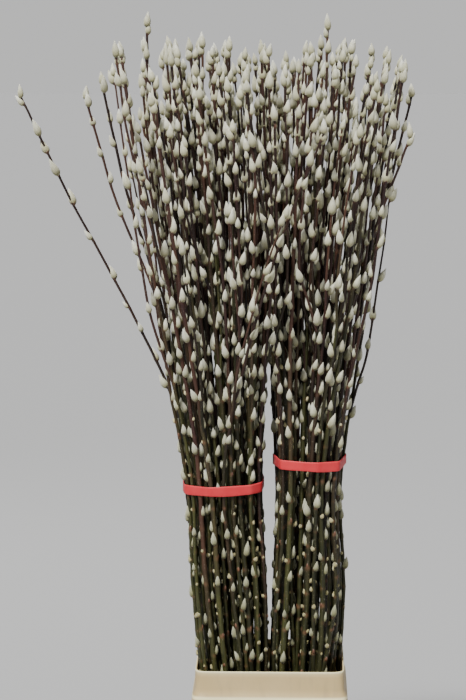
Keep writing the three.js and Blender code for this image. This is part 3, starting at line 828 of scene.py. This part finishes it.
def hull(points):
    """The corners of the tightest loop round flat points, anticlockwise (a monotone chain)."""
    points = points[np.lexsort((points[:, 1], points[:, 0]))]

    def chain(run):
        kept = []
        for p in run:
            while len(kept) > 1:
                a, b = kept[-2], kept[-1]
                if (b[0] - a[0]) * (p[1] - a[1]) - (b[1] - a[1]) * (p[0] - a[0]) > 0:
                    break
                kept.pop()
            kept.append(p)
        return kept[:-1]

    return np.array(chain(points) + chain(points[::-1]))


rubber, tree, shader = new_material("red_rubber", IOR=1.5, Specular_IOR_Level=0.35)
stretch = grain(tree, 900.0, 6.0, 3.0)
RED, BRIGHT_RED, EDGE_HIGHLIGHT_RED = (0.52, 0.018, 0.028), (0.60, 0.035, 0.042), (0.72, 0.08, 0.08)
rubber_colour = mix(tree, span(tree, grain(tree, 45.0), 0.3, 0.7), RED, BRIGHT_RED)
# The band's rounded edges are painted brighter: a painted highlight where they catch the light.
rubber_colour = mix(tree, span(tree, fact(tree, "edge"), 0.3, 1.0, 0.0, 0.4), rubber_colour, EDGE_HIGHLIGHT_RED)
tree.links.new(rubber_colour, shader.inputs["Base Color"])
tree.links.new(span(tree, stretch, 0.3, 0.7, 0.42, 0.58), shader.inputs["Roughness"])
tree.links.new(bump(tree, stretch, 0.00012, 0.6), shader.inputs["Normal"])

for side in ("left", "right"):
    mine = np.array([branch_names[b].startswith(side) for b in ROD_BRANCH])
    z = np.repeat(tie_z[side] + TIE_LEVELS, mine.sum())
    rod = np.tile(np.flatnonzero(mine), len(TIE_LEVELS))
    there = (ROD_LOW[rod] < z) & (ROD_HIGH[rod] > z)
    rod, z = rod[there], z[there]
    middle = np.stack([at_height(stem_x, rod, z), at_height(stem_y, rod, z)], 1)
    reach = at_height(stem_r, rod, z) + SWELL * 0.8 + TIE_GAP
    way = np.linspace(0, 2 * np.pi, 24, endpoint=False)
    touch = middle[:, None] + reach[:, None, None] * np.stack([np.cos(way), np.sin(way)], 1)
    loop = hull(touch.reshape(-1, 2))
    closed = np.vstack([loop, loop[:1]])
    lengths = np.concatenate([[0], np.cumsum(np.linalg.norm(np.diff(closed, axis=0), axis=1))])
    steps = np.linspace(0, lengths[-1], TIE_POINTS, endpoint=False)
    line = np.stack([np.interp(steps, lengths, closed[:, k]) for k in range(2)], 1)
    # A rubber loop bridges its corners softly: each point is the mean of its near neighbours.
    line = sum(np.roll(line, k, 0) for k in range(-2, 3)) / 5
    way = np.roll(line, -1, 0) - np.roll(line, 1, 0)
    way /= np.linalg.norm(way, axis=1)[:, None]
    out = np.stack([way[:, 1], -way[:, 0]], 1)
    t, w = TIE_THICKNESS, TIE_WIDTH / 2
    lower_edge = [(0, -w + 0.0003), (0.25 * t, -w), (0.75 * t, -w), (t, -w + 0.0004)]
    outer_face = [(t, -w * 0.6), (t, -w * 0.2), (t, w * 0.2), (t, w * 0.6)]
    upper_edge = [(t, w - 0.0004), (0.75 * t, w), (0.25 * t, w), (0, w - 0.0003)]
    inner_face = [(0, w * 0.3), (0, -w * 0.3)]
    section = np.array(lower_edge + outer_face + upper_edge + inner_face)
    # Its width and its height wander a little on the way round.
    s = np.arange(TIE_POINTS) * 2 * np.pi / TIE_POINTS
    narrow = 1 + 0.04 * np.sin(3 * s + 1) + 0.03 * np.sin(7 * s)
    lie = tie_z[side] + TIE_SLOPE[side] * (line[:, 0] - side_middle[side][0]) + 0.0012 * np.sin(2 * s + 0.6)
    rings = np.empty((1, TIE_POINTS, len(section), 3))
    rings[0, ..., :2] = line[:, None] + out[:, None] * section[:, :1]
    rings[0, ..., 2] = lie[:, None] + section[:, 1] * narrow[:, None]
    band = skin(
        side + "_tie_band", rings[:, ::-1], steps, wrap=True,
        facts={"edge": np.clip((abs(section[:, 1]) - 0.75 * w) / (0.25 * w), 0, 1)[None, None]},
    )
    band.data.materials.append(rubber)
    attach(band, "root")
    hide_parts(side + "_tie")


# ---- Floor, light and camera -------------------------------------------------------------------
# A pale matt floor in a plain room, under a broad key light from high on the front left. The camera
# stands well back and looks a little down.

CAMERA_AIM, CAMERA_DISTANCE = np.array([-0.0550, 0.0, 0.7850]), 3.6
CAMERA_TURN, CAMERA_DIP, FRAME_HEIGHT = np.radians(1.5), np.radians(7.0), 1.015

floor_mesh = bpy.data.meshes.new("floor")
floor_corners = np.array([(-1, -1, 0), (1, -1, 0), (1, 1, 0), (-1, 1, 0)]) * 60.0 - [0, 0, 0.0003]
floor_mesh.from_pydata(floor_corners.tolist(), [], [(0, 1, 2, 3)])
floor = bpy.data.objects.new("floor", floor_mesh)
bpy.context.scene.collection.objects.link(floor)
pale, tree, shader = new_material("pale_floor", Roughness=0.9)
FLOOR_GREY = (0.40, 0.40, 0.397)
shader.inputs["Base Color"].default_value = (*FLOOR_GREY, 1)
floor.data.materials.append(pale)

world = bpy.data.worlds.new("soft_room")
bpy.context.scene.world = world
world.use_nodes = True
sky = world.node_tree
way_up = node(sky, "ShaderNodeSeparateXYZ", {0: node(sky, "ShaderNodeTexCoord").outputs["Generated"]})
# Just above the horizon the room is as bright as the floor; the rest of it is dim.
HORIZON, WALL = (0.62, 0.62, 0.615), (0.66, 0.66, 0.655)
DIM, CEILING = (0.05, 0.05, 0.052), (0.14, 0.14, 0.146)
room = ramp(sky, way_up.outputs["Z"], [(0.0, HORIZON), (0.02, WALL), (0.06, DIM), (1.0, CEILING)])
# Seen past the floor's edge, the room goes on in the floor's own tone.
seen = node(sky, "ShaderNodeLightPath").outputs["Is Camera Ray"]
BACKDROP = (0.64, 0.64, 0.635)
sky.links.new(mix(sky, seen, room, BACKDROP), sky.nodes["Background"].inputs["Color"])
sky.nodes["Background"].inputs["Strength"].default_value = 1.0


def soft_light(name, place, aim, size, power):
    """A square area light at place, turned towards aim."""
    lamp = bpy.data.lights.new(name, "AREA")
    lamp.size, lamp.energy = size, power
    made = bpy.data.objects.new(name, lamp)
    bpy.context.scene.collection.objects.link(made)
    made.location = place
    made.rotation_euler = (Vector(aim) - Vector(place)).to_track_quat("-Z", "Y").to_euler()


soft_light("side_light", (2.2, -1.6, 1.9), (0, 0, 0.8), 1.6, 16)
soft_light("back_light", (-1.6, 2.4, 2.2), (0, 0, 0.9), 1.8, 20)
key = bpy.data.objects.new("key_light", bpy.data.lights.new("key_light", "SUN"))
key.data.energy, key.data.angle = 6.2, np.radians(11)
key.rotation_euler = Vector((0.34, 0.70, -1.0)).to_track_quat("-Z", "Y").to_euler()
bpy.context.scene.collection.objects.link(key)

lens = bpy.data.cameras.new("camera")
lens.sensor_fit = "VERTICAL"
lens.angle = 2 * np.arctan(FRAME_HEIGHT / 2 / CAMERA_DISTANCE)
lens.clip_end = 200
camera = bpy.data.objects.new("camera", lens)
bpy.context.scene.collection.objects.link(camera)
away = np.array(
    [np.sin(CAMERA_TURN) * np.cos(CAMERA_DIP), -np.cos(CAMERA_TURN) * np.cos(CAMERA_DIP), np.sin(CAMERA_DIP)]
)
camera.location = CAMERA_AIM + away * CAMERA_DISTANCE
camera.rotation_euler = (np.pi / 2 - CAMERA_DIP, 0, CAMERA_TURN)
bpy.context.scene.camera = camera
